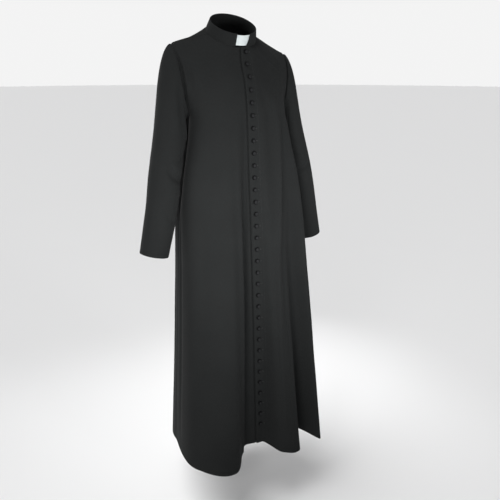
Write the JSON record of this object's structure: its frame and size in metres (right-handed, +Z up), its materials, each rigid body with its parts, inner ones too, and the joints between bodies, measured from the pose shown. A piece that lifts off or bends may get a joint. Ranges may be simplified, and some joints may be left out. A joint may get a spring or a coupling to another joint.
{
  "type": "cassock",
  "caption": "Full-length black robe with a stand collar, white collar tab, long sleeves and a row of covered buttons down the front.",
  "frame": {"origin": "midway between the two points where the shoulder seams meet the collar, where the wearer's shoulders carry the garment", "axes": "+Z up, -Y to the wearer's front, +X to the wearer's left"},
  "size_m": [0.6558, 0.4469, 1.418],
  "materials": {
    "black_suiting": "matte",
    "button_cloth": "satin",
    "white_band": "matte"
  },
  "bodies": {
    "root": {"front_right": "black_suiting", "front_left": "black_suiting", "back": "black_suiting", "sleeve_right_upper": "black_suiting", "sleeve_right_under": "black_suiting", "sleeve_left_upper": "black_suiting", "sleeve_left_under": "black_suiting", "collar": "black_suiting", "collar_tab": "white_band", "button_01": "button_cloth", "button_02": "button_cloth", "button_03": "button_cloth", "button_04": "button_cloth", "button_05": "button_cloth", "button_06": "button_cloth", "button_07": "button_cloth", "button_08": "button_cloth", "button_09": "button_cloth", "button_10": "button_cloth", "button_11": "button_cloth", "button_12": "button_cloth", "button_13": "button_cloth", "button_14": "button_cloth", "button_15": "button_cloth", "button_16": "button_cloth", "button_17": "button_cloth", "button_18": "button_cloth", "button_19": "button_cloth", "button_20": "button_cloth", "button_21": "button_cloth", "button_22": "button_cloth", "button_23": "button_cloth", "button_24": "button_cloth", "button_25": "button_cloth", "button_26": "button_cloth", "button_27": "button_cloth", "button_28": "button_cloth", "button_29": "button_cloth", "button_30": "button_cloth", "button_31": "button_cloth", "button_32": "button_cloth", "button_33": "button_cloth"}
  },
  "joints": []
}
